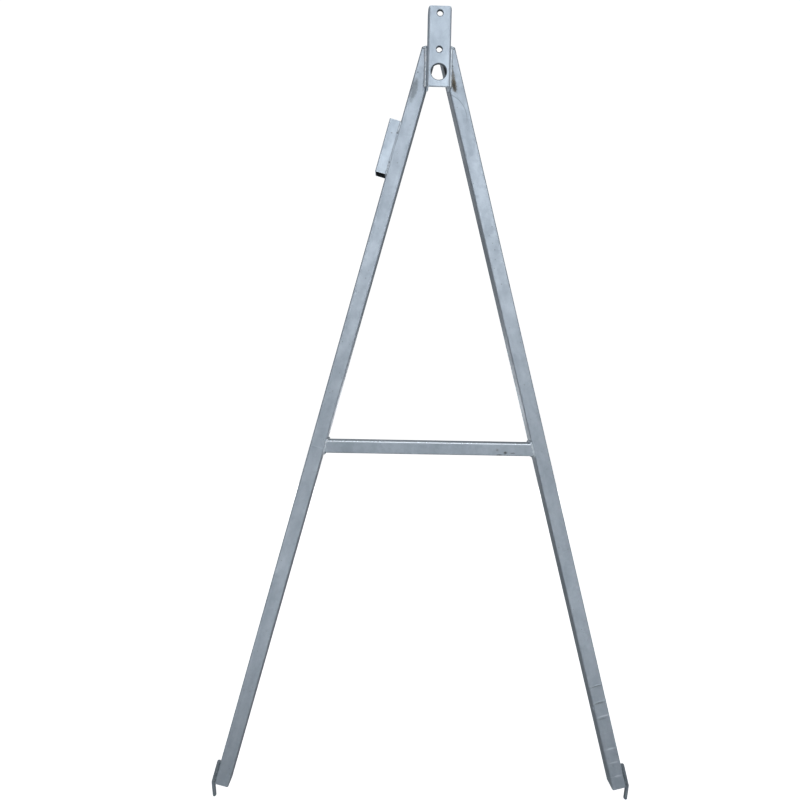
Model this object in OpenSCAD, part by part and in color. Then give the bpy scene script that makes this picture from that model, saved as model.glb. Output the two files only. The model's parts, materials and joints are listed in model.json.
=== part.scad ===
// Welded A-frame of a field easel, in hot-dip galvanised steel. Two leaning square-tube
// legs carry a folded channel at the head, a crossbar, a short accessory socket on the
// left leg and a bent-rod ground spike at each foot. Nothing on it moves.
// The front faces -Y, left is -X, Z = 0 is at the spike tips and X = 0 lies midway
// between the legs. Lengths are in millimetres and angles in degrees.

/* [Legs] */
// Width and depth of the square leg tube
leg_size = 25.4; // [22:0.1:32]
// Wall of the leg tube
leg_wall = 2; // [1.2:0.1:3]
// Outer corner radius of the leg tube
leg_corner = 2.5; // [2:0.1:4]
// Lean of each leg from upright
leg_lean = 15.1; // [10:0.1:20]
// Length of each leg from its top cut to its foot cut
leg_length = 1325; // [900:1:1700]
// Gap between the inner corners of the two leg tops
apex_gap = 6; // [1:0.5:12]

/* [Crossbar] */
// Width and depth of the square crossbar tube
crossbar_size = 22.2; // [16:0.1:25]
// Wall of the crossbar tube
crossbar_wall = 1.8; // [1.2:0.1:3]
// Outer corner radius of the crossbar tube
crossbar_corner = 2.2; // [2:0.1:3.5]
// Height of the crossbar's centre line above the spike tips
crossbar_height = 641; // [300:1:900]

/* [Head channel] */
// Width of the channel across its flanges
head_width = 38.1; // [34:0.1:46]
// Depth of the channel from its web's face to its flange edges
head_depth = 15; // [10:0.5:22]
// Length of the channel
head_length = 124; // [105:1:160]
// Thickness of the channel's plate
head_wall = 3.2; // [2:0.1:5]
// Outer bend radius between web and flange
head_bend = 4; // [3.5:0.1:6]
// Radius of the channel's two top corners, seen from the front
head_corner = 4; // [1:0.5:8]
// Rise of the channel above the highest corners of the leg tops
head_rise = 53; // [30:1:80]
// Diameter of the two bolt holes
bolt_hole = 9.5; // [6:0.1:13]
// Distance of the upper bolt hole below the channel's top
bolt_hole_inset = 11; // [8:0.5:20]
// Distance between the two bolt holes
bolt_hole_spacing = 56; // [40:0.5:64]
// Diameter of the large pin hole
pin_hole = 25.4; // [15:0.1:28]
// Height of the large pin hole above the channel's bottom
pin_hole_inset = 22.4; // [18:0.1:32]

/* [Accessory socket] */
// Width and depth of the square socket tube
socket_size = 19; // [15:0.1:22]
// Wall of the socket tube
socket_wall = 1.6; // [1.2:0.1:2.5]
// Outer corner radius of the socket tube
socket_corner = 2; // [1.8:0.1:3]
// Length of the socket
socket_length = 89; // [70:1:140]
// Distance of the socket's top below the leg's top cut
socket_drop = 124; // [90:1:300]
// Length of each of the socket's stitch welds
socket_stitch = 20; // [10:1:30]

/* [Ground spikes] */
// Diameter of the spike rod
spike_d = 6.35; // [5:0.05:10]
// Length of the rod welded along the leg
spike_grip = 40; // [30:1:80]
// Bend that turns the rod's lower end down and a little inward
spike_bend = 20; // [10:1:35]
// Distance of the rod's centre line behind the leg's front face
spike_inset = 4.2; // [4.2:0.1:12]
// Height of the leg's lowest corner above the spike tips
foot_clear = 20; // [14:0.5:60]

/* [Welds] */
// Radius of the fillets along the head channel
head_fillet = 4.5; // [3:0.1:6]
// Radius of the beads round the crossbar's ends
crossbar_bead = 3.2; // [2.4:0.1:5]
// Radius of the socket's stitch welds
socket_bead = 2.8; // [2.5:0.1:4]
// Radius of the beads beside the spike rods
spike_bead = 2; // [1.6:0.1:3]

/* [Hidden] */
$fn = 64;
LEFT = -1;
RIGHT = 1;
// Overshoot of cutting tools past the faces that they cut
cut = 1;
// Share of a bead's radius that stands proud of flush faces
proud = 0.6;

// The legs' front face, with the channel and the legs together centred on Y = 0
front_y = (head_depth - leg_size) / 2;
// Outer corner of the right leg's foot cut
foot_x = apex_gap / 2 + leg_size * cos(leg_lean) + leg_length * sin(leg_lean);
foot_z = foot_clear + leg_size * sin(leg_lean);
leg_top_z = foot_z + leg_length * cos(leg_lean);
head_top_z = leg_top_z + head_rise;
head_bottom_z = head_top_z - head_length;
socket_bottom = leg_length - socket_drop - socket_length;
spike_r = spike_d / 2;

// Distance from X = 0 to a leg's inner face at height z
function inner_x(z) = foot_x - leg_size / cos(leg_lean) - (z - foot_z) * tan(leg_lean);
// Height at which a leg's inner face is at distance x from X = 0
function inner_z(x) = foot_z + (foot_x - leg_size / cos(leg_lean) - x) / tan(leg_lean);

// Straight length of the spike below its bend, which brings the tip to Z = 0
spike_point = (foot_z - spike_r + spike_r * sin(leg_lean)) / cos(spike_bend - leg_lean);

// Square with round corners, from the origin towards +X and +Y
module rounded_square(size, corner) {
    translate([corner, 0]) square([size - 2 * corner, size]);
    translate([0, corner]) square([size, size - 2 * corner]);
    for (x = [corner, size - corner], y = [corner, size - corner])
        translate([x, y]) circle(corner);
}

module square_bar(size, corner, length) {
    linear_extrude(length) rounded_square(size, corner);
}

module square_tube(size, wall, corner, length) {
    linear_extrude(length) difference() {
        rounded_square(size, corner);
        translate([wall, wall])
            rounded_square(size - 2 * wall, max(corner - wall, 0.2));
    }
}

// Places children in a leg's own frame: X = 0 is its outer face with +X outward,
// Y = 0 its front face with +Y to the back, and Z runs up the leg from its foot cut
module in_leg_frame(side) {
    mirror([side == LEFT ? 1 : 0, 0, 0])
        translate([foot_x, front_y, foot_z])
            rotate([0, -leg_lean, 0])
                children();
}

module leg(side) {
    color("silver") in_leg_frame(side)
        translate([-leg_size, 0, 0])
            square_tube(leg_size, leg_wall, leg_corner, leg_length);
}

module leg_bar(side) {
    in_leg_frame(side)
        translate([-leg_size, 0, -cut])
            square_bar(leg_size, leg_corner, leg_length + cut);
}

// Lays children that run along Z out along X, centred on X = 0 at the crossbar's height
module in_crossbar_frame(length) {
    translate([-length / 2, front_y, crossbar_height + crossbar_size / 2])
        rotate([0, 90, 0])
            children();
}

// Everything outside the inner faces of the two legs
module beyond_legs() {
    reach = 4 * leg_size;
    for (side = [LEFT, RIGHT])
        in_leg_frame(side)
            translate([-leg_size, -reach, -cut])
                cube([reach, 3 * reach, leg_length + 2 * cut]);
}

module crossbar() {
    length = 2 * inner_x(crossbar_height - crossbar_size);
    color("silver") difference() {
        in_crossbar_frame(length)
            square_tube(crossbar_size, crossbar_wall, crossbar_corner, length);
        beyond_legs();
    }
}

module crossbar_bar() {
    length = 2 * inner_x(crossbar_height - crossbar_size);
    in_crossbar_frame(length)
        square_bar(crossbar_size, crossbar_corner, length);
}

// Channel section with its web in front: a rounded outline less its hollow
module channel_section() {
    inner_bend = max(head_bend - head_wall, 0.3);
    difference() {
        union() {
            translate([-head_width / 2 + head_bend, 0])
                square([head_width - 2 * head_bend, head_depth]);
            translate([-head_width / 2, head_bend])
                square([head_width, head_depth - head_bend]);
            for (s = [-1, 1])
                translate([s * (head_width / 2 - head_bend), head_bend]) circle(head_bend);
        }
        translate([-head_width / 2 + head_wall + inner_bend, head_wall])
            square([head_width - 2 * (head_wall + inner_bend), head_depth]);
        translate([-head_width / 2 + head_wall, head_wall + inner_bend])
            square([head_width - 2 * head_wall, head_depth]);
        for (s = [-1, 1])
            translate([s * (head_width / 2 - head_wall - inner_bend), head_wall + inner_bend])
                circle(inner_bend);
    }
}

// Front outline of the channel, with its two top corners rounded
module channel_outline() {
    translate([-head_width / 2, 0]) square([head_width, head_length - head_corner]);
    translate([-head_width / 2 + head_corner, 0])
        square([head_width - 2 * head_corner, head_length]);
    for (s = [-1, 1])
        translate([s * (head_width / 2 - head_corner), head_length - head_corner])
            circle(head_corner);
}

// A round hole through the channel's web at height z above the channel's bottom
module web_hole(diameter, z) {
    translate([0, -cut, z])
        rotate([-90, 0, 0])
            cylinder(h = head_wall + 2 * cut, d = diameter);
}

module head_channel() {
    color("silver") translate([0, front_y - head_depth, head_bottom_z]) difference() {
        intersection() {
            linear_extrude(head_length) channel_section();
            translate([0, head_depth + cut, 0])
                rotate([90, 0, 0])
                    linear_extrude(head_depth + 2 * cut) channel_outline();
        }
        web_hole(bolt_hole, head_length - bolt_hole_inset);
        web_hole(bolt_hole, head_length - bolt_hole_inset - bolt_hole_spacing);
        web_hole(pin_hole, pin_hole_inset);
    }
}

module side_socket() {
    color("silver") in_leg_frame(LEFT)
        translate([0, 0, socket_bottom])
            square_tube(socket_size, socket_wall, socket_corner, socket_length);
}

// A rod of that length up from Z = 0, turned round at its lower end
module round_point(radius, length) {
    rotate_extrude() intersection() {
        union() {
            circle(radius);
            square([radius, length]);
        }
        translate([0, -radius]) square([radius, length + radius]);
    }
}

// The space above (+1) or below (-1) a spike's bend, split by the bend's mitre plane
module beyond_bend(direction) {
    reach = 2 * (spike_grip + spike_point);
    rotate([0, spike_bend / 2, 0])
        translate([-reach / 2, -reach / 2, direction > 0 ? 0 : -reach])
            cube(reach);
}

// The rod of a spike: a straight grip beside the leg, a mitred bend level with the
// leg's foot cut, and a straight point
module spike_rod(side) {
    in_leg_frame(side) translate([spike_r, spike_inset, 0]) {
        difference() {
            translate([0, 0, -spike_r]) cylinder(h = spike_grip + spike_r, r = spike_r);
            beyond_bend(-1);
        }
        difference() {
            rotate([0, spike_bend, 0]) translate([0, 0, -spike_point])
                round_point(spike_r, spike_point + spike_r);
            beyond_bend(1);
        }
    }
}

module ground_spike(side) {
    color("silver") spike_rod(side);
}

// Quarter-round fillet between the channel's flange and a leg's front face
module head_weld(side) {
    low = inner_z(head_width / 2);
    high = leg_top_z - leg_size * sin(leg_lean) / 2;
    color("gainsboro") translate([side * head_width / 2, front_y, low]) intersection() {
        cylinder(h = high - low, r = head_fillet);
        translate([side == LEFT ? -head_fillet : 0, -head_fillet, 0])
            cube([head_fillet, head_fillet, high - low]);
    }
}

// Bead along the front edge of a leg's top cut, outside the channel
module head_cap_weld(side) {
    covered = head_width / 2;
    corner_x = apex_gap / 2 + leg_size * cos(leg_lean);
    length = (corner_x - covered) / cos(leg_lean);
    bead = head_fillet * proud;
    color("gainsboro") difference() {
        in_leg_frame(side)
            translate([-length, bead / 2, leg_length])
                rotate([0, 90, 0])
                    cylinder(h = length - leg_corner / 2, r = bead);
        leg_bar(side);
        head_weld(side);
        translate([-covered, front_y - head_depth, head_bottom_z])
            cube([2 * covered, 2 * head_depth, head_length]);
    }
}

// Beads on all four sides of a crossbar end, trimmed to the two tubes
module crossbar_weld(side) {
    top = (crossbar_height + crossbar_size / 2 - foot_z) / cos(leg_lean)
        + leg_size * tan(leg_lean);
    bottom = top - crossbar_size / cos(leg_lean);
    color("gainsboro") difference() {
        in_leg_frame(side) translate([-leg_size, 0, 0]) {
            for (z = [bottom, top])
                translate([0, crossbar_corner, z])
                    rotate([-90, 0, 0])
                        cylinder(h = crossbar_size - crossbar_corner, r = crossbar_bead);
            translate([0, crossbar_corner, bottom])
                cylinder(h = top - bottom, r = crossbar_bead);
            translate([0, crossbar_size, bottom])
                cylinder(h = top - bottom, r = crossbar_bead);
        }
        leg_bar(side);
        crossbar_bar();
    }
}

// A stitch weld in front of and behind the socket, from height z up the leg
module socket_weld(z) {
    color("gainsboro") difference() {
        in_leg_frame(LEFT) translate([0, 0, z]) {
            translate([0, socket_bead * (1 - proud), 0])
                cylinder(h = socket_stitch, r = socket_bead);
            translate([0, socket_size, 0])
                cylinder(h = socket_stitch, r = socket_bead);
        }
        leg_bar(LEFT);
        in_leg_frame(LEFT) translate([0, 0, socket_bottom - cut])
            square_bar(socket_size, socket_corner, socket_length + 2 * cut);
    }
}

// Beads in front of and behind the spike's grip, trimmed to the rod and the leg
module spike_weld(side) {
    color("gainsboro") difference() {
        in_leg_frame(side)
            for (s = [-1, 1])
                translate([spike_bead / 2, spike_inset + s * spike_r, leg_corner])
                    cylinder(h = spike_grip - 2 * leg_corner, r = spike_bead);
        leg_bar(side);
        spike_rod(side);
    }
}

leg(LEFT);  // left_leg
leg(RIGHT);  // right_leg
crossbar();
head_channel();
side_socket();
ground_spike(LEFT);  // left_ground_spike
ground_spike(RIGHT);  // right_ground_spike
head_weld(LEFT);  // head_weld_left
head_weld(RIGHT);  // head_weld_right
head_cap_weld(LEFT);  // head_cap_weld_left
head_cap_weld(RIGHT);  // head_cap_weld_right
crossbar_weld(LEFT);  // crossbar_weld_left
crossbar_weld(RIGHT);  // crossbar_weld_right
socket_weld(socket_bottom + socket_length - socket_stitch);  // socket_weld_upper
socket_weld(socket_bottom);  // socket_weld_lower
spike_weld(LEFT);  // spike_weld_left
spike_weld(RIGHT);  // spike_weld_right
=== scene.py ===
"""The welded A-frame of a field easel in hot-dip galvanised steel: its finishes, weld beads
and zinc runs round the CAD frame, and a pale studio with its lamps and camera."""

import json
import math
import random

import bmesh
import bpy
from mathutils import Matrix, Vector, noise


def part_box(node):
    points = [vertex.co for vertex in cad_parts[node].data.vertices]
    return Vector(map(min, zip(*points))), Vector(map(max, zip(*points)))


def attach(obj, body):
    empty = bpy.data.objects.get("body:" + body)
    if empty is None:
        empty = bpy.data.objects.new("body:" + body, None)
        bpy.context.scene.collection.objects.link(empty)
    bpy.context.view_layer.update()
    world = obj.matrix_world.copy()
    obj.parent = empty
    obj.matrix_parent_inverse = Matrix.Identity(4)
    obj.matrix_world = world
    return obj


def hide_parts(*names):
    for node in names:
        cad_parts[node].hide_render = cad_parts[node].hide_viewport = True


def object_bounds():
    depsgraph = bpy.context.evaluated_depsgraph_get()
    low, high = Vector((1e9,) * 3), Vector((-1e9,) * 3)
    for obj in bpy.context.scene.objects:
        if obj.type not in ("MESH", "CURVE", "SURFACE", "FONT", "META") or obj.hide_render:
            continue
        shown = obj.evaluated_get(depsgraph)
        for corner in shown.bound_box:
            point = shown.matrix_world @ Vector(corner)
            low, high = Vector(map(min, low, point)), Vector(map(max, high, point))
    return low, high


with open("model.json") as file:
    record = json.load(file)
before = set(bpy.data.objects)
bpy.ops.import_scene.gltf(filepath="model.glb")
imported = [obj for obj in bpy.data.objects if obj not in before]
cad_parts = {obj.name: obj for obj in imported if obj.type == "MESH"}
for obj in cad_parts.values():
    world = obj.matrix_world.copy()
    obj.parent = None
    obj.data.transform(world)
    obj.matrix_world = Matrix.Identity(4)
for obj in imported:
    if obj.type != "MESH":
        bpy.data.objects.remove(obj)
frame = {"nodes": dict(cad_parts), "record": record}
cad_low, cad_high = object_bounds()

MM = 0.001
LEFT = -1
RIGHT = 1
SIDES = {LEFT: "left", RIGHT: "right"}
X = Vector((1, 0, 0))
Y = Vector((0, 1, 0))
Z = Vector((0, 0, 1))
# How far a bead or a zinc run is sunk into the steel that it lies on
SUNK = 0.3 * MM
# Weathered zinc lies between bare metal and its own grey-white patina
METALLIC = 0.6
# Each zinc finish clouds between a dull and a bright tone
PLAIN = ("#a3afbb", "#bac5d0")
BRIGHT = ("#b4c1ce", "#cbd7e2")
WORN = ("#9ba7b2", "#b2bdc8")
DULL = ("#808b94", "#99a4ae")
RUST = "#5a5140"
# Soot, and painted shade on the undersides of the zinc ridges
SOOT_AND_SHADOW = "#6d7377"
# A painted highlight, for the crossbar's top edge and the crowns of the zinc ridges
PAINTED_HIGHLIGHT = "#dbe4ec"
# Painted shade, for steel that lies in shadow behind the head and inside the socket
PAINTED_SHADE = "#22272a"


# Places, worked out from the CAD boxes


class Leg:
    """A leg's frame: X = 0 is its outer face, Y = 0 its front face, Z runs up from its foot cut."""

    def __init__(self, side):
        low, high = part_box(f"{SIDES[side]}_leg")
        size = high - low
        self.side = side
        self.width = size.y
        self.lean = 0.0
        # A box as wide and tall as this holds a bar of this width at one lean only
        for _ in range(40):
            across = size.x - self.width * math.cos(self.lean)
            upward = size.z - self.width * math.sin(self.lean)
            self.lean = math.atan2(across, upward)
        self.length = upward / math.cos(self.lean)
        foot_x = high.x if side == RIGHT else low.x
        foot_z = low.z + self.width * math.sin(self.lean)
        self.foot = Vector((foot_x, low.y, foot_z))
        turn = Matrix.Rotation(-side * self.lean, 4, "Y")
        self.matrix = Matrix.Translation(self.foot) @ turn @ Matrix.Diagonal((side, 1, 1, 1))

    def within(self, place):
        """A world place in this leg's frame."""
        return self.matrix.inverted() @ place


LEGS = {side: Leg(side) for side in SIDES}
HEAD_LOW, HEAD_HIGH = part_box("head_channel")
BAR_LOW, BAR_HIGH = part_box("crossbar")
LEG_WIDTH = LEGS[RIGHT].width
FRONT_Y = BAR_LOW.y
BAR_SIZE = BAR_HIGH.z - BAR_LOW.z
HEAD_HALF = HEAD_HIGH.x
MOUNTS = {mount["name"]: mount for mount in frame["record"]["mounts"]}
# The walls of the socket tube, which no box tells
SOCKET_WALL = 1.6 * MM


# Colours and nodes

TIMES = {"operation": "MULTIPLY"}
PLUS = {"operation": "ADD"}
MINUS = {"operation": "SUBTRACT"}
UNSIGNED = {"operation": "ABSOLUTE"}
LARGER = {"operation": "MAXIMUM"}
LENGTH = {"operation": "LENGTH"}
SMOOTH = {"interpolation_type": "SMOOTHSTEP"}
CENTRED = {"vector_type": "TEXTURE"}
COLOURS = {"data_type": "RGBA"}


def colour(text):
    """An sRGB hex colour as linear RGBA."""
    parts = [int(text[i : i + 2], 16) / 255 for i in (1, 3, 5)]
    linear = [c / 12.92 if c <= 0.04045 else ((c + 0.055) / 1.055) ** 2.4 for c in parts]
    return (*linear, 1.0)


def add(tree, kind, settings=None, **sockets):
    """Adds a shader node with its settings. Each socket, by its name or as in0, in1 and so on,
    takes a value, another node's output, or a node, which stands for its first output."""
    made = tree.nodes.new("ShaderNode" + kind)
    for key, value in (settings or {}).items():
        setattr(made, key, value)
    for key, value in sockets.items():
        numbered = key.startswith("in") and key[2:].isdigit()
        socket = made.inputs[int(key[2:]) if numbered else key.replace("_", " ")]
        if isinstance(value, bpy.types.Node):
            value = value.outputs[0]
        if isinstance(value, bpy.types.NodeSocket):
            tree.links.new(value, socket)
        else:
            socket.default_value = value
    return made


def new_material(name):
    material = bpy.data.materials.new(name)
    material.use_nodes = True
    material.node_tree.nodes.clear()
    return material, material.node_tree


# Marks on a finish: each pattern below is 1 on its mark and 0 away from it


def blot(tree, place, centre, radii, ragged, grain):
    """A round spot, whose edge noise of that grain breaks up by ragged."""
    moved = add(tree, "Mapping", CENTRED, Vector=place, Location=centre, Scale=radii)
    away = add(tree, "VectorMath", LENGTH, in0=moved).outputs["Value"]
    if ragged:
        broken = add(tree, "TexNoise", Vector=place, Scale=1 / grain, Detail=4.0, Roughness=0.7)
        broken = add(tree, "Math", MINUS, in0=broken, in1=0.5)
        broken = add(tree, "Math", TIMES, in0=broken, in1=ragged)
        away = add(tree, "Math", PLUS, in0=away, in1=broken)
    return add(tree, "MapRange", SMOOTH, Value=away, From_Min=1.0, From_Max=0.35)


def thin_arc(tree, place, centre, radius, width, low, high):
    """A thin line round a centre beside the leg, which fades out above high and below low."""
    moved = add(tree, "Mapping", CENTRED, Vector=place, Location=centre, Scale=(1, 1000, 1))
    away = add(tree, "VectorMath", LENGTH, in0=moved).outputs["Value"]
    off = add(tree, "Math", MINUS, in0=away, in1=radius)
    off = add(tree, "Math", UNSIGNED, in0=off)
    line = add(tree, "MapRange", SMOOTH, Value=off, From_Min=width, From_Max=width * 0.2)
    up = add(tree, "SeparateXYZ", Vector=place).outputs[2]
    ends = [(low - 12 * MM, low + 8 * MM), (high + 4 * MM, high - 2 * MM)]
    for gone, full in ends:
        end = add(tree, "MapRange", SMOOTH, Value=up, From_Min=gone, From_Max=full)
        line = add(tree, "Math", TIMES, in0=line, in1=end)
    return line


def shade_behind_head(tree, place):
    """A mask for painted shade on the front of a leg where it lies behind the head channel, out of
    the daylight.
    """
    world = add(tree, "TexCoord").outputs["Object"]
    across, depth, up = add(tree, "SeparateXYZ", Vector=world).outputs
    off = add(tree, "Math", UNSIGNED, in0=across).outputs[0]
    edges = [
        (off, HEAD_HALF - 1 * MM, HEAD_HALF - 3 * MM),
        (up, HEAD_LOW.z - 6 * MM, HEAD_LOW.z + 6 * MM),
        (depth, FRONT_Y + 9 * MM, FRONT_Y + 4 * MM),
    ]
    mask = 1.0
    for value, gone, full in edges:
        part = add(tree, "MapRange", SMOOTH, Value=value, From_Min=gone, From_Max=full)
        mask = add(tree, "Math", TIMES, in0=mask, in1=part)
    return mask


def hole_wall_shade(tree, place, centre, radius):
    """A mask for painted shade on the wall of a hole through the head's web, and on its very rim.
    """
    across, _, up = add(tree, "SeparateXYZ", Vector=place).outputs
    across = add(tree, "Math", MINUS, in0=across, in1=centre[0])
    up = add(tree, "Math", MINUS, in0=up, in1=centre[1])
    flat = add(tree, "CombineXYZ", X=across, Z=up)
    away = add(tree, "VectorMath", LENGTH, in0=flat).outputs["Value"]
    rim = radius + 1.5 * MM
    return add(tree, "MapRange", SMOOTH, Value=away, From_Min=rim, From_Max=rim - 0.9 * MM)


def inner_wall_shade(tree, place, centre, half):
    """A mask for painted shade on the inner walls of a square tube, by their distance from its
    middle line.
    """
    offs = []
    for side, middle in zip(add(tree, "SeparateXYZ", Vector=place).outputs, centre):
        off = add(tree, "Math", MINUS, in0=side, in1=middle)
        offs.append(add(tree, "Math", UNSIGNED, in0=off))
    away = add(tree, "Math", LARGER, in0=offs[0], in1=offs[1])
    edge = half + 0.6 * MM
    return add(tree, "MapRange", SMOOTH, Value=away, From_Min=edge, From_Max=edge - 0.5 * MM)


def mark(tint, strength, kind, *values):
    """A mark: its tint, its strength, and what draws it in a material's own nodes."""
    return tint, strength, lambda tree, place: kind(tree, place, *values)


def smudge(tint, strength, centre, radii, ragged=0.0, grain=3.0):
    """A blot whose lengths are in millimetres."""
    centre = tuple(length * MM for length in centre)
    radii = tuple(length * MM for length in radii)
    return mark(tint, strength, blot, centre, radii, ragged, grain * MM)


def marked(tree, place, skin, marks):
    """A skin's colour under its marks, the first lowest."""
    for tint, strength, draw in marks:
        share = add(tree, "Math", TIMES, in0=draw(tree, place), in1=strength)
        mixed = add(tree, "Mix", COLOURS, Factor=share, in6=skin, in7=colour(tint))
        skin = mixed.outputs[2]
    return skin


# Steel finishes

# How wide the patterns in a zinc skin are
CLOUDS = 22 * MM
DRIFT = 120 * MM
# The real spangle is about 1 mm wide and wouldn't show
SPANGLE = 5 * MM
FINE = 2.2 * MM
PEEL = 14 * MM
SPECKS = 9 * MM
# How wide the patterns in weld metal are
WELD_LUMPS = 5 * MM
WELD_FINE = 1.2 * MM
RESIDUE = 9 * MM


def specks(tree, place):
    """Small pits and ash specks, one cell in about twelve."""
    cells = add(tree, "TexVoronoi", Vector=place, Scale=1 / SPECKS, Randomness=1.0)
    green = add(tree, "SeparateColor", Color=cells.outputs["Color"]).outputs[1]
    chosen = add(tree, "MapRange", SMOOTH, Value=green, From_Min=0.91, From_Max=0.93)
    away = cells.outputs["Distance"]
    speck = add(tree, "MapRange", SMOOTH, Value=away, From_Min=0.13, From_Max=0.05)
    return add(tree, "Math", TIMES, in0=speck, in1=chosen)


def galvanised(name, leg=None, marks=(), tones=PLAIN, shiny=()):
    """Hot-dip galvanised structural steel: a matt blue-grey zinc skin that clouds over patches a
    few centimetres wide, a faint fine spangle, orange-peel waves and small pits. Marks lie on
    it in the piece's own frame, and shiny names the marks that are smoother too."""
    material, tree = new_material(name)
    place = add(tree, "TexCoord").outputs["Object"]
    if leg is not None:
        turn = (0, -leg.side * leg.lean, 0)
        place = add(tree, "Mapping", CENTRED, Vector=place, Location=leg.foot, Rotation=turn)
        place = place.outputs[0]
    # Zinc drains along a bar as it leaves the bath, so its clouds are longer than wide
    drained = add(tree, "Mapping", Vector=place, Scale=(1, 1, 0.45))
    clouds = add(tree, "TexNoise", Vector=drained, Scale=1 / CLOUDS, Detail=4.0, Roughness=0.6)
    drift = add(tree, "TexNoise", Vector=drained, Scale=1 / DRIFT, Detail=2.0, Roughness=0.55)
    spangle = add(tree, "TexVoronoi", Vector=place, Scale=1 / SPANGLE, Randomness=1.0)
    spangle = add(tree, "SeparateColor", Color=spangle.outputs["Color"])
    fine = add(tree, "TexNoise", Vector=place, Scale=1 / FINE, Detail=3.0, Roughness=0.65)
    tone = add(tree, "Math", TIMES, in0=clouds, in1=0.52)
    for pattern, share in ((drift, 0.30), (spangle, 0.06), (fine, 0.12)):
        part = add(tree, "Math", TIMES, in0=pattern, in1=share)
        tone = add(tree, "Math", PLUS, in0=tone, in1=part)
    tone = add(tree, "MapRange", SMOOTH, Value=tone, From_Min=0.30, From_Max=0.70)
    dull, bright = tones
    skin = add(tree, "Mix", COLOURS, Factor=tone, in6=colour(dull), in7=colour(bright))
    pits = mark("#5b6268", 0.55, specks)
    skin = marked(tree, place, skin.outputs[2], [pits, *marks])
    matt = add(tree, "Math", TIMES, in0=spangle, in1=0.15)
    matt = add(tree, "Math", PLUS, in0=clouds, in1=matt)
    rough = add(
        tree,
        "MapRange",
        SMOOTH,
        Value=matt,
        From_Min=0.3,
        From_Max=0.8,
        To_Min=0.58,
        To_Max=0.46,
    )
    for _, _, draw in shiny:
        smooth = add(tree, "Math", TIMES, in0=draw(tree, place), in1=0.26)
        rough = add(tree, "Math", MINUS, in0=rough, in1=smooth)
    waves = add(tree, "TexNoise", Vector=drained, Scale=1 / PEEL, Detail=2.0, Roughness=0.55)
    peel = add(tree, "Bump", Strength=0.35, Distance=0.6 * MM, Height=waves)
    bump = add(tree, "Bump", Strength=0.30, Distance=0.12 * MM, Height=fine, Normal=peel)
    shader = add(
        tree,
        "BsdfPrincipled",
        Base_Color=skin,
        Metallic=METALLIC,
        Roughness=rough,
        Normal=bump,
    )
    add(tree, "OutputMaterial", Surface=shader)
    return material


def residue(tree, place):
    """Flux residue, caught in patches."""
    spread = add(tree, "TexNoise", Vector=place, Scale=1 / RESIDUE, Detail=3.0, Roughness=0.7)
    return add(tree, "MapRange", SMOOTH, Value=spread, From_Min=0.60, From_Max=0.72)


def weld_skin(name, stains=(), tones=("#a3afb9", "#cdd7e0")):
    """Weld metal under the same zinc: brighter on its crowns, pitted, with brown and grey flux
    residue caught here and there."""
    material, tree = new_material(name)
    place = add(tree, "TexCoord").outputs["Object"]
    lumps = add(tree, "TexNoise", Vector=place, Scale=1 / WELD_LUMPS, Detail=4.0, Roughness=0.65)
    fine = add(tree, "TexNoise", Vector=place, Scale=1 / WELD_FINE, Detail=3.0, Roughness=0.7)
    crowns = add(tree, "MapRange", SMOOTH, Value=lumps, From_Min=0.35, From_Max=0.65)
    dull, bright = tones
    skin = add(tree, "Mix", COLOURS, Factor=crowns, in6=colour(dull), in7=colour(bright))
    pits = add(tree, "MapRange", SMOOTH, Value=fine, From_Min=0.36, From_Max=0.28)
    layers = [mark("#77705f", 0.35, residue), ("#4c5054", 0.5, lambda tree, place: pits)]
    skin = marked(tree, place, skin.outputs[2], [*layers, *stains])
    rough = add(
        tree,
        "MapRange",
        SMOOTH,
        Value=lumps,
        From_Min=0.3,
        From_Max=0.7,
        To_Min=0.52,
        To_Max=0.40,
    )
    shader = add(
        tree,
        "BsdfPrincipled",
        Base_Color=skin,
        Metallic=METALLIC,
        Roughness=rough,
        Normal=add(tree, "Bump", Strength=0.5, Distance=0.25 * MM, Height=fine),
    )
    add(tree, "OutputMaterial", Surface=shader)
    return material


def left_leg_marks():
    leg = LEGS[LEFT]
    top = leg.length / MM
    return [
        # Painted shade where the leg lies behind the head channel
        mark(PAINTED_SHADE, 0.85, shade_behind_head),
        # Grey smudges below the head and a pit beside it
        smudge(SOOT_AND_SHADOW, 0.55, (7, 0, top - 72), (7, 9, 24), 1.6, 6),
        smudge(SOOT_AND_SHADOW, 0.35, (5, 0, top - 56), (6, 9, 9), 1.4, 4),
        smudge("#4b5157", 0.8, (5.2, 0, top - 41), (1.5, 1.5, 1.5)),
        # Flux and painted crevice shade along the toe of the head weld
        smudge("#4a5157", 0.65, (leg.width / MM * 0.8, 0, top - 34), (5, 8, 34), 2.2, 2.4),
        # Craters where the socket's welds end
        smudge("#3f454a", 0.9, (0.3, 0, top - 143), (1.7, 3, 1.7)),
        smudge("#4b5157", 0.8, (0.4, 0, top - 192.5), (1.3, 3, 1.3)),
    ]


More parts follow.
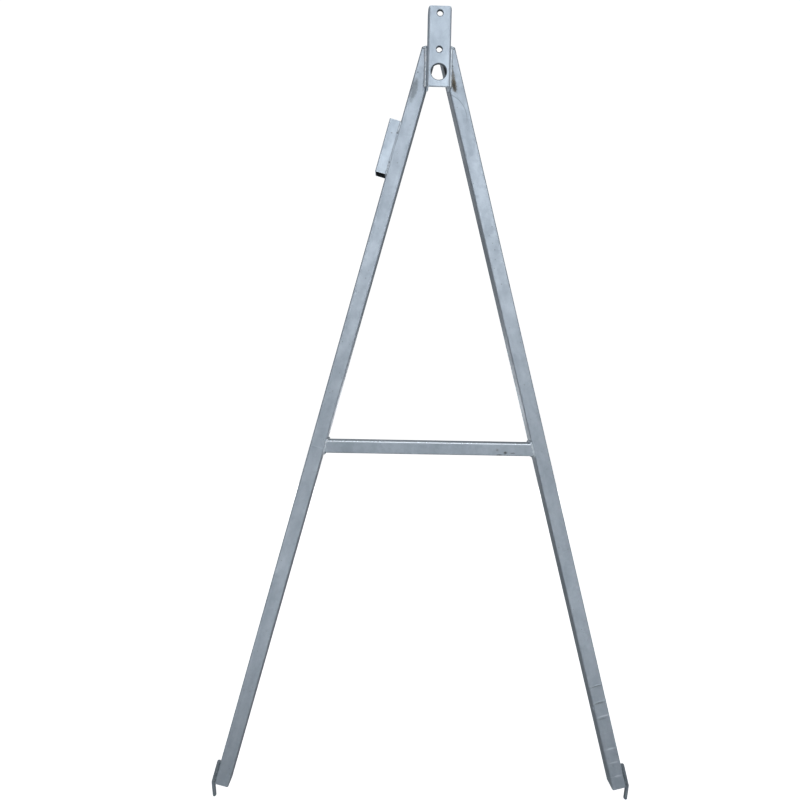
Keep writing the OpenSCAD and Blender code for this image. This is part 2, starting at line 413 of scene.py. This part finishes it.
def right_leg_marks():
    leg = LEGS[RIGHT]
    top = leg.length / MM
    run = Vector((-49 * MM, 0, (top - 106) * MM))
    return [
        # Painted shade where the leg lies behind the head channel
        mark(PAINTED_SHADE, 0.85, shade_behind_head),
        # Brown stain beside the lower half of the head weld, and two pits above it
        smudge(RUST, 0.70, (-14.5, 0, top - 42), (4.2, 9, 26), 1.6),
        smudge(RUST, 0.85, (-16.5, 0, top - 58), (6, 9, 16), 1.6),
        smudge("#35332b", 0.7, (-16.5, 0, top - 60), (3.5, 9, 10), 1.8, 2.4),
        smudge("#3c4248", 0.9, (-11.6, 0, top - 28), (2, 2, 2)),
        smudge("#4b5157", 0.8, (-12.6, 0, top - 37), (1.5, 1.5, 1.5)),
        # Painted shade on the undersides and painted highlights on the crowns of the zinc ridges
        # near the foot
        smudge(SOOT_AND_SHADOW, 0.40, (-12, 0, 200.5), (18, 14, 2.4), 0.7, 6),
        smudge(SOOT_AND_SHADOW, 0.50, (-14, 0, 168.5), (15, 14, 2.8), 0.7, 6),
        smudge(PAINTED_HIGHLIGHT, 0.55, (-10, 0, 143), (14, 14, 2.2), 0.7, 6),
        smudge(SOOT_AND_SHADOW, 0.35, (-16, 0, 138), (12, 14, 2.2), 0.7, 6),
        smudge(PAINTED_HIGHLIGHT, 0.40, (-13, 0, 79), (9, 14, 3.4), 1.0, 6),
        smudge(PAINTED_HIGHLIGHT, 0.40, (-12, 0, 52), (9, 14, 2.6), 1.0, 6),
        smudge(PAINTED_HIGHLIGHT, 0.45, (-10, 0, 25), (9, 14, 3.4), 1.0, 6),
        # The edge of a zinc run that curves down from the head
        mark(
            "#6f7b86",
            0.55,
            thin_arc,
            run,
            42 * MM,
            1.1 * MM,
            (top - 114) * MM,
            (top - 72) * MM,
        ),
    ]


def bar_edge_highlight():
    """A painted highlight along the crossbar's top front corner."""
    centre = (0, FRONT_Y / MM + 0.6, BAR_HIGH.z / MM - 0.8)
    return smudge(PAINTED_HIGHLIGHT, 0.9, centre, (2000, 2.6, 3))


def crossbar_marks():
    """The painted highlight along the top edge, and dark specks near the right end."""
    right = BAR_HIGH.x / MM
    front = FRONT_Y / MM
    low = BAR_LOW.z / MM
    return [
        bar_edge_highlight(),
        smudge("#3f423f", 0.85, (right - 52, front, low + 5.5), (4, 3, 3), 1.2),
        smudge("#2f332f", 0.85, (right - 62, front, low + 1.5), (7, 3, 1.5), 0.8),
        smudge("#4f5350", 0.65, (right - 39, front, low + 5), (6, 3, 1.2), 1.2),
        smudge("#6d6e6c", 0.5, (right - 66, front, low + 10), (3, 3, 3), 1.4),
    ]


def head_marks():
    """Painted shade on the rims and walls of the head's three holes, found in its own mounts."""
    bolts = MOUNTS["head_bolts"]
    pin = MOUNTS["head_pin_hole"]
    apart = bolts["dims"]["spacing_y_mm"] / 2
    rows = [(bolts, bolts["dims"]["hole_r_mm"], way * apart) for way in (-1, 1)]
    rows.append((pin, pin["dims"]["r_mm"], 0))
    rims = []
    for mount, radius, above in rows:
        middle = (mount["pos_m"][0], mount["pos_m"][2] + above * MM)
        # Painted shade round each hole
        rims.append(mark("#3b444c", 0.85, hole_wall_shade, middle, radius * MM))
    return rims


def socket_marks():
    """The painted shade inside the tube, and the seam with the craters where the welds end."""
    leg = LEGS[LEFT]
    top = leg.length / MM
    low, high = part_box("side_socket")
    half = (high.y - low.y) / 2
    middle = (-half, (low.y + high.y) / 2 - leg.foot.y)
    return [
        # Painted shade inside the socket tube
        mark(PAINTED_SHADE, 0.85, inner_wall_shade, middle, half - SOCKET_WALL),
        smudge("#66707a", 0.45, (-0.3, 0, top - 168), (0.8, 5, 26)),
        smudge("#2f3539", 0.95, (-0.3, 0, top - 143), (2.2, 5, 2.2)),
        smudge("#3b4146", 0.85, (-0.2, 0, top - 192.5), (1.6, 5, 1.6)),
        smudge(SOOT_AND_SHADOW, 0.5, (-9.5, 0, top - 146), (2.4, 3, 1.6), 1.0),
    ]


def dress_cad():
    """Gives each carried-over CAD node its own galvanised finish."""
    left = LEGS[LEFT]
    right = LEGS[RIGHT]
    title = "Galvanised steel, "
    finishes = {
        "left_leg": galvanised(title + "left leg", left, left_leg_marks()),
        "right_leg": galvanised(title + "right leg", right, right_leg_marks()),
        "crossbar": galvanised(title + "crossbar", None, crossbar_marks(), WORN, [bar_edge_highlight()]),
        "head_channel": galvanised(title + "head channel", None, head_marks(), BRIGHT),
        "side_socket": galvanised(title + "side socket", left, socket_marks(), BRIGHT),
    }
    rod = galvanised(title + "spike rod", None, (), DULL)
    for name, node in frame["nodes"].items():
        if name in finishes or "spike" in name:
            node.data.materials.clear()
            node.data.materials.append(finishes.get(name, rod))


# Weld beads and zinc runs


def steep(bm, least):
    """The edges that climb by more than least."""
    return [e for e in bm.edges if abs(e.verts[0].co.z - e.verts[1].co.z) > least]


def lumpy_bar(length, radius, seed, swell=0.07, pitch=2.4 * MM, lumps=0.16):
    """A bead along +Z with its crown towards +X: a round bar with round ends, whose ripples
    and lumps change its radius by the shares swell and lumps."""
    rng = random.Random(seed)
    shift = Vector([rng.uniform(0, 50) for _ in range(3)])
    bm = bmesh.new()
    bmesh.ops.create_cone(
        bm,
        cap_ends=True,
        segments=16,
        radius1=radius,
        radius2=radius,
        depth=length,
        matrix=Matrix.Translation((0, 0, length / 2)),
    )
    rings = max(10, round(4 * length / pitch))
    bmesh.ops.subdivide_edges(bm, edges=steep(bm, length / 2), cuts=rings)
    for v in bm.verts:
        # The end rings narrow, so that the ends come out round
        t = v.co.z / length
        reach = min(t, 1 - t) * length / radius
        taper = math.sqrt(max(0.06, 1 - max(0.0, 1 - reach) ** 2))
        # A ripple is a crescent with its toes ahead of its crown
        crescent = v.co.z - 0.35 * (radius - v.co.x)
        wave = 1 + swell * math.cos(2 * math.pi * crescent / pitch)
        lump = 1 + lumps * noise.noise(shift + v.co * (0.35 / radius))
        wander = 0.14 * radius * noise.noise(shift + Vector((0, 0, v.co.z * 0.22 / radius)))
        v.co.x *= taper * wave * lump
        v.co.y = v.co.y * taper * wave * lump + wander
    return bm


def trim(bm, place, outward):
    """Cuts away what lies behind a plane, and closes the cut."""
    geometry = bm.verts[:] + bm.edges[:] + bm.faces[:]
    made = bmesh.ops.bisect_plane(
        bm, geom=geometry, dist=1e-7, plane_co=place, plane_no=outward, clear_inner=True
    )
    edges = [g for g in made["geom_cut"] if isinstance(g, bmesh.types.BMEdge)]
    bmesh.ops.holes_fill(bm, edges=edges, sides=0)


def placed(bm, foot, run, crown):
    """Moves a bead made along +Z so that it starts at foot, runs along run and crowns to crown."""
    run = run.normalized()
    crown = (crown - run * crown.dot(run)).normalized()
    third = run.cross(crown)
    turn = Matrix((crown, third, run)).transposed().to_4x4()
    bmesh.ops.transform(bm, matrix=Matrix.Translation(foot) @ turn, verts=bm.verts)
    return bm


def join(parts):
    """One bmesh out of several."""
    whole = bmesh.new()
    for part in parts:
        loose = bpy.data.meshes.new("loose")
        part.to_mesh(loose)
        part.free()
        whole.from_mesh(loose)
        bpy.data.meshes.remove(loose)
    return whole


def piece(name, bm, material, matrix=None, replaces=()):
    """Turns a bmesh into a shown piece that rides on the frame."""
    if matrix is not None:
        bmesh.ops.transform(bm, matrix=matrix, verts=bm.verts)
    bmesh.ops.remove_doubles(bm, verts=bm.verts, dist=1e-6)
    bmesh.ops.recalc_face_normals(bm, faces=bm.faces)
    mesh = bpy.data.meshes.new(name)
    bm.to_mesh(mesh)
    bm.free()
    mesh.polygons.foreach_set("use_smooth", [True] * len(mesh.polygons))
    mesh.materials.append(material)
    made = bpy.data.objects.new(name, mesh)
    bpy.context.scene.collection.objects.link(made)
    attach(made, "root")
    if replaces:
        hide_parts(*replaces)


def head_bead(side, material):
    """The fillet between the head channel's flange and the leg's front face."""
    node = f"head_weld_{SIDES[side]}"
    low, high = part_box(node)
    centre = Vector((side * (HEAD_HALF + 1.9 * MM), FRONT_Y - 1.5 * MM, low.z))
    bm = lumpy_bar(high.z - low.z, 2.4 * MM, 11 + side, 0.05, 2.6 * MM)
    placed(bm, centre, Z, Vector((side * 0.5, -1, 0)))
    trim(bm, side * (HEAD_HALF - SUNK) * X, side * X)
    trim(bm, (FRONT_Y + SUNK) * Y, -Y)
    piece(f"head_bead_{SIDES[side]}", bm, material, replaces=(node,))


def cap_bead(side, material):
    """The bead along the front edge of a leg's top cut, outside the channel."""
    node = f"head_cap_weld_{SIDES[side]}"
    leg = LEGS[side]
    # The bead is built up beside the channel and runs out at the leg's corner
    corner = leg.matrix @ Vector((0, 0, leg.length))
    start = Vector((side * (HEAD_HALF - 0.5 * MM), FRONT_Y + 1.1 * MM, corner.z - 0.2 * MM))
    end = Vector((corner.x, start.y, corner.z - 2.6 * MM))
    run = end - start
    bm = lumpy_bar(run.length - 0.4 * MM, 2.5 * MM, 31 + side, 0.03, 2.4 * MM, 0.1)
    placed(bm, start, run, Vector((0, -1, 0.8)))
    trim(bm, side * (HEAD_HALF - SUNK) * X, side * X)
    piece(f"head_cap_bead_{SIDES[side]}", bm, material, replaces=(node,))


def crossbar_beads(side, material):
    """The beads on all four sides of a crossbar end."""
    leg = LEGS[side]
    inside = -leg.width
    heights = []
    for z in (BAR_LOW.z, BAR_HIGH.z):
        # Where the leg's inner face meets the bar's bottom and top faces
        heights.append((z - leg.foot.z - inside * math.sin(leg.lean)) / math.cos(leg.lean))
    low, high = heights
    front = lumpy_bar(high - low + 1.0 * MM, 3.2 * MM, 51 + side, 0.04, 4.2 * MM, 0.14)
    place = Vector((inside - 0.3 * MM, 2.6 * MM, low - 0.5 * MM))
    placed(front, place, Z, Vector((-0.3, -1, 0)))
    back = lumpy_bar(high - low, 3.0 * MM, 61 + side, 0.10, 3.2 * MM, 0.3)
    place = Vector((inside - 0.6 * MM, BAR_SIZE - 0.4 * MM, low))
    placed(back, place, Z, Vector((-1, 0.5, 0)))
    beads = [front, back]
    for seed, height, way in ((71, high, 1), (81, low, -1)):
        bead = lumpy_bar(BAR_SIZE - 1 * MM, 3.3 * MM, seed + side, 0.05, 3.8 * MM, 0.16)
        place = Vector((inside - 0.7 * MM, 0.8 * MM, height + way * 0.5 * MM))
        beads.append(placed(bead, place, Y, Vector((-1, 0, way))))
    for bead in beads:
        # Into the leg's wall, and no further
        trim(bead, (inside + 1.2 * MM) * X, -X)
    name = f"crossbar_beads_{SIDES[side]}"
    replaced = (f"crossbar_weld_{SIDES[side]}",)
    piece(name, join(beads), material, leg.matrix, replaced)


def socket_beads(which, material):
    """A stitch in front of and behind the socket, at its upper or lower end."""
    leg = LEGS[LEFT]
    node = f"socket_weld_{which}"
    low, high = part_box(node)
    socket_low, socket_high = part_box("side_socket")
    depth = socket_high.y - socket_low.y
    # The stitch's own length along the leg, from the height of its box
    length = (high.z - low.z) / math.cos(leg.lean) - 1.0 * MM
    start = leg.within((low + high) / 2).z - length / 2
    seeds = {"upper": (91, 101), "lower": (95, 105)}[which]
    front = lumpy_bar(length, 2.6 * MM, seeds[0], 0.04, 3.0 * MM, 0.16)
    placed(front, Vector((0, 2.3 * MM, start)), Z, -Y)
    back = lumpy_bar(length, 2.3 * MM, seeds[1], 0.10, 3.0 * MM, 0.3)
    placed(back, Vector((0.8 * MM, depth + 0.2 * MM, start)), Z, Vector((0.5, 1, 0)))
    trim(back, -1.2 * MM * X, X)
    trim(back, (depth - 1.2 * MM) * Y, Y)
    beads = join([front, back])
    piece(f"socket_beads_{which}", beads, material, leg.matrix, (node,))


def socket_seam(material):
    """Zinc that has filled the groove between the socket and the leg, in front, nearly flush."""
    leg = LEGS[LEFT]
    upper_low, upper_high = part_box("socket_weld_upper")
    lower_low, lower_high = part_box("socket_weld_lower")
    top = leg.within((upper_low + upper_high) / 2).z
    bottom = leg.within((lower_low + lower_high) / 2).z
    bm = lumpy_bar(top - bottom, 2.3 * MM, 131, 0.0, 3.0 * MM, 0.06)
    placed(bm, Vector((0, 2.5 * MM, bottom)), Z, -Y)
    piece("zinc_seam_socket", bm, material, leg.matrix)


def spike_beads(side, material):
    """The beads in front of and behind the spike's grip along the leg's outer face."""
    leg = LEGS[side]
    node = f"spike_weld_{SIDES[side]}"
    low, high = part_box(node)
    length = (high.z - low.z) / math.cos(leg.lean) - 2 * MM
    start = leg.within((low + high) / 2).z - length / 2
    middle_y = (low.y + high.y) / 2 - leg.foot.y
    reach = (high.y - low.y) / 2 - 1.7 * MM
    beads = []
    for seed, way in ((111, -1), (121, 1)):
        bead = lumpy_bar(length, 1.8 * MM, seed + side, 0.10, 2.8 * MM, 0.3)
        place = Vector((0.6 * MM, middle_y + way * reach, start))
        placed(bead, place, Z, Vector((1, way * 0.6, 0)))
        trim(bead, -1.0 * MM * X, X)
        beads.append(bead)
    name = f"spike_beads_{SIDES[side]}"
    piece(name, join(beads), material, leg.matrix, (node,))


def zinc_ridge(height, thickness, seed, dip, band=5.6 * MM):
    """A wavy ridge of zinc round a leg: a sleeve as wide as the tube whose middle stands proud on
    the front and inner faces and sinks away at the back. dip is how far its inner side sags."""
    rng = random.Random(seed)
    shift = Vector([rng.uniform(0, 50) for _ in range(3)])
    half = LEG_WIDTH / 2
    bm = bmesh.new()
    bmesh.ops.create_cube(bm, size=1.0, matrix=Matrix.Diagonal((LEG_WIDTH, LEG_WIDTH, band, 1)))
    bmesh.ops.bevel(
        bm,
        geom=steep(bm, band / 2),
        offset=2.5 * MM,
        affect="EDGES",
        segments=5,
        profile=0.5,
        material=-1,
    )
    ends = [f for f in bm.faces if abs(f.normal.z) > 0.9]
    bmesh.ops.delete(bm, geom=ends, context="FACES")
    # Only the level edges along the flat sides are this long
    level = [e for e in bm.edges if e.calc_length() > 6 * MM]
    bmesh.ops.subdivide_edges(bm, edges=level, cuts=14)
    bmesh.ops.subdivide_edges(bm, edges=steep(bm, band / 2), cuts=9)
    for v in bm.verts:
        # It stands proud in its middle, unevenly, and fades towards the back
        across = v.co.x / half
        swell = 0.5 + 0.5 * math.cos(2 * math.pi * v.co.z / band)
        front = max(0.0, min(1.0, (half * 0.9 - v.co.y) / LEG_WIDTH))
        uneven = 0.75 + 0.5 * noise.noise(shift + Vector((v.co.x, v.co.y, 0)) / (9 * MM))
        proud = (SUNK + thickness * uneven * front) * swell - SUNK
        # Away from the side that a vertex lies on, or from both at a corner
        outward = Vector((round(across * 0.6), round(v.co.y / half * 0.6), 0))
        v.co += outward.normalized() * proud
        v.co.z -= dip * (0.5 - 0.5 * across) ** 2
        v.co.z += 0.8 * MM * noise.noise(shift + Vector((v.co.x, v.co.y, 9)) / (11 * MM))
    bmesh.ops.recalc_face_normals(bm, faces=bm.faces)
    bmesh.ops.solidify(bm, geom=bm.faces[:], thickness=0.5 * MM)
    bmesh.ops.translate(bm, vec=(-half, half, height), verts=bm.verts)
    return bm


def zinc_ridges(right_steel, left_steel):
    """Ridges where the draining zinc froze: several near the right foot, with a drip between
    two of them, and one on the left leg beside the crossbar."""
    # Height above the foot, how proud and how far the inner side sags, all in millimetres
    near_foot = [
        (202, 0.50, 3.0),
        (171, 0.55, 3.4),
        (142, 0.50, 2.0),
        (110, 0.20, 1.5),
        (79, 0.34, 1.5),
        (52, 0.36, 1.2),
        (25, 0.36, 1.0),
    ]
    ridges = []
    for i, (height, thickness, dip) in enumerate(near_foot):
        ridges.append(zinc_ridge(height * MM, thickness * MM, 200 + i, dip * MM))
    drip = lumpy_bar(6 * MM, 1.3 * MM, 215)
    ridges.append(placed(drip, Vector((-LEG_WIDTH, 3 * MM, 156 * MM)), Z, -X))
    matrix = LEGS[RIGHT].matrix
    piece("zinc_ridges_right_foot", join(ridges), right_steel, matrix)
    leg = LEGS[LEFT]
    beside = leg.within(Vector((BAR_LOW.x, 0, (BAR_LOW.z + BAR_HIGH.z) / 2))).z
    ridge = zinc_ridge(beside - 4 * MM, 0.3 * MM, 230, 0.6 * MM)
    piece("zinc_ridge_left_leg", ridge, left_steel, leg.matrix)


def build_welds():
    """All weld beads, the zinc in the socket's groove and the zinc ridges."""
    title = "Galvanised weld metal"
    # The near-white tones of the head beads are painted light: they brighten beads that face the
    # dim sides of the studio
    drained = ("#cdd8e1", "#eef3f7")
    plain = weld_skin(title)
    light = weld_skin(title + ", smooth", (), ("#bac6d1", "#dfe7ee"))
    dark = weld_skin(title + ", sooty", (), ("#6f7a82", "#8f9ba4"))
    # Rust at the lower end of the right head bead
    toe = (HEAD_HALF / MM + 4.5, FRONT_Y / MM, HEAD_LOW.z / MM + 12)
    stain = smudge(RUST, 0.6, toe, (2.5, 9, 22), 1.6)
    stained = weld_skin(title + ", stained", [stain], drained)
    painted_bright_weld = weld_skin(title + ", painted bright", (), drained)
    for side in SIDES:
        head_bead(side, stained if side == RIGHT else painted_bright_weld)
        cap_bead(side, plain)
        crossbar_beads(side, light)
        spike_beads(side, dark)
    socket_beads("upper", plain)
    socket_beads("lower", plain)
    nodes = frame["nodes"]
    socket_seam(nodes["side_socket"].data.materials[0])
    zinc_ridges(nodes["right_leg"].data.materials[0], nodes["left_leg"].data.materials[0])


# Studio


def studio_bowl():
    """A round seamless floor that curves up into a wall, so that every side has the same pale
    backdrop. It shows and takes shadows, but throws no light back at the steel."""
    radius = 4.5
    bend = 1.5
    wall = 5.0
    bm = bmesh.new()
    middle = bm.verts.new((0, 0, 0))
    first = bm.verts.new((radius - bend, 0, 0))
    spun = bmesh.ops.spin(
        bm,
        geom=[first],
        cent=(radius - bend, 0, bend),
        axis=Y,
        angle=-math.pi / 2,
        steps=16,
    )
    last = [g for g in spun["geom_last"] if isinstance(g, bmesh.types.BMVert)][0]
    top = bm.verts.new(last.co + wall * Z)
    bm.edges.new((middle, first))
    bm.edges.new((last, top))
    bmesh.ops.spin(
        bm,
        geom=bm.verts[:] + bm.edges[:],
        cent=(0, 0, 0),
        axis=Z,
        angle=2 * math.pi,
        steps=96,
        use_merge=True,
    )
    bmesh.ops.remove_doubles(bm, verts=bm.verts, dist=1e-5)
    bmesh.ops.recalc_face_normals(bm, faces=bm.faces)
    bmesh.ops.reverse_faces(bm, faces=bm.faces)
    bmesh.ops.translate(bm, vec=(0, 0, cad_low.z - 0.4 * MM), verts=bm.verts)
    mesh = bpy.data.meshes.new("studio_bowl")
    bm.to_mesh(mesh)
    bm.free()
    mesh.polygons.foreach_set("use_smooth", [True] * len(mesh.polygons))
    material, tree = new_material("Pale studio paper")
    shader = add(
        tree,
        "BsdfPrincipled",
        Base_Color=colour("#d9dbdc"),
        Roughness=0.9,
        Specular_IOR_Level=0.1,
        Emission_Color=colour("#ffffff"),
        Emission_Strength=0.90,
    )
    add(tree, "OutputMaterial", Surface=shader)
    mesh.materials.append(material)
    bowl = bpy.data.objects.new("studio_bowl", mesh)
    bpy.context.scene.collection.objects.link(bowl)
    bowl.visible_diffuse = False
    bowl.visible_glossy = False


def softbox(name, place, target, size, watts, tint="#ffffff"):
    """A rectangular lamp at a place, aimed at a target."""
    light = bpy.data.lights.new(name, "AREA")
    light.shape = "RECTANGLE"
    light.size, light.size_y = size
    light.energy = watts
    light.color = colour(tint)[:3]
    lamp = bpy.data.objects.new(name, light)
    lamp.location = place
    aim = Vector(target) - Vector(place)
    lamp.rotation_euler = aim.to_track_quat("-Z", "Y").to_euler()
    lamp.visible_camera = False
    bpy.context.scene.collection.objects.link(lamp)


def light_studio():
    """A soft key high in front with weaker lamps below it down to the floor, so that the front
    darkens evenly towards the feet, and soft lamps behind and at both sides."""
    softbox("key", (0.3, -1.9, 2.5), (0, 0, 1.1), (2.2, 1.5), 16, "#f6faff")
    softbox("middle", (0.25, -2.2, 1.45), (0, 0, 0.9), (1.8, 0.9), 12)
    softbox("low", (0, -2.0, 0.45), (0, 0, 0.3), (2.0, 0.9), 4.5)
    softbox("feet", (0, -0.7, 0.06), (0, 0, 0.15), (2.0, 0.15), 2.2)
    softbox("back_high", (-0.5, 2.4, 2.3), (0, 0, 0.9), (2.0, 1.4), 6)
    softbox("back_low", (0, 2.4, 0.33), (0, 0, 0.7), (2.4, 0.5), 12)
    softbox("left", (-2.6, 0.1, 1.1), (0, 0, 0.8), (1.2, 1.6), 2.5)
    softbox("right", (2.6, 0.1, 1.1), (0, 0, 0.8), (1.2, 1.6), 2.5)
    world = bpy.data.worlds.new("studio")
    world.use_nodes = True
    daylight = world.node_tree.nodes["Background"]
    daylight.inputs["Color"].default_value = colour("#fbfdff")
    daylight.inputs["Strength"].default_value = 0.178
    bpy.context.scene.world = world


def set_camera():
    """A wide lens at half the frame's height, close in front, rolled a little to one side."""
    place = Vector((-0.0616, -0.7828, 0.7691))
    yaw = math.radians(0.69)
    pitch = math.radians(3.343)
    roll = math.radians(1.108)
    ahead = Vector((math.sin(yaw), math.cos(yaw), 0))
    forward = math.cos(pitch) * ahead - math.sin(pitch) * Z
    level = Vector((math.cos(yaw), -math.sin(yaw), 0))
    upright = level.cross(forward)
    right = math.cos(roll) * level + math.sin(roll) * upright
    up = -math.sin(roll) * level + math.cos(roll) * upright
    data = bpy.data.cameras.new("camera")
    data.sensor_width = 36
    data.lens = 20.43
    data.clip_start = 0.01
    camera = bpy.data.objects.new("camera", data)
    turn = Matrix((right, up, -forward)).transposed().to_4x4()
    camera.matrix_world = Matrix.Translation(place) @ turn
    bpy.context.scene.collection.objects.link(camera)
    bpy.context.scene.camera = camera


dress_cad()
build_welds()
studio_bowl()
light_studio()
set_camera()
bpy.context.scene.view_settings.view_transform = "Standard"
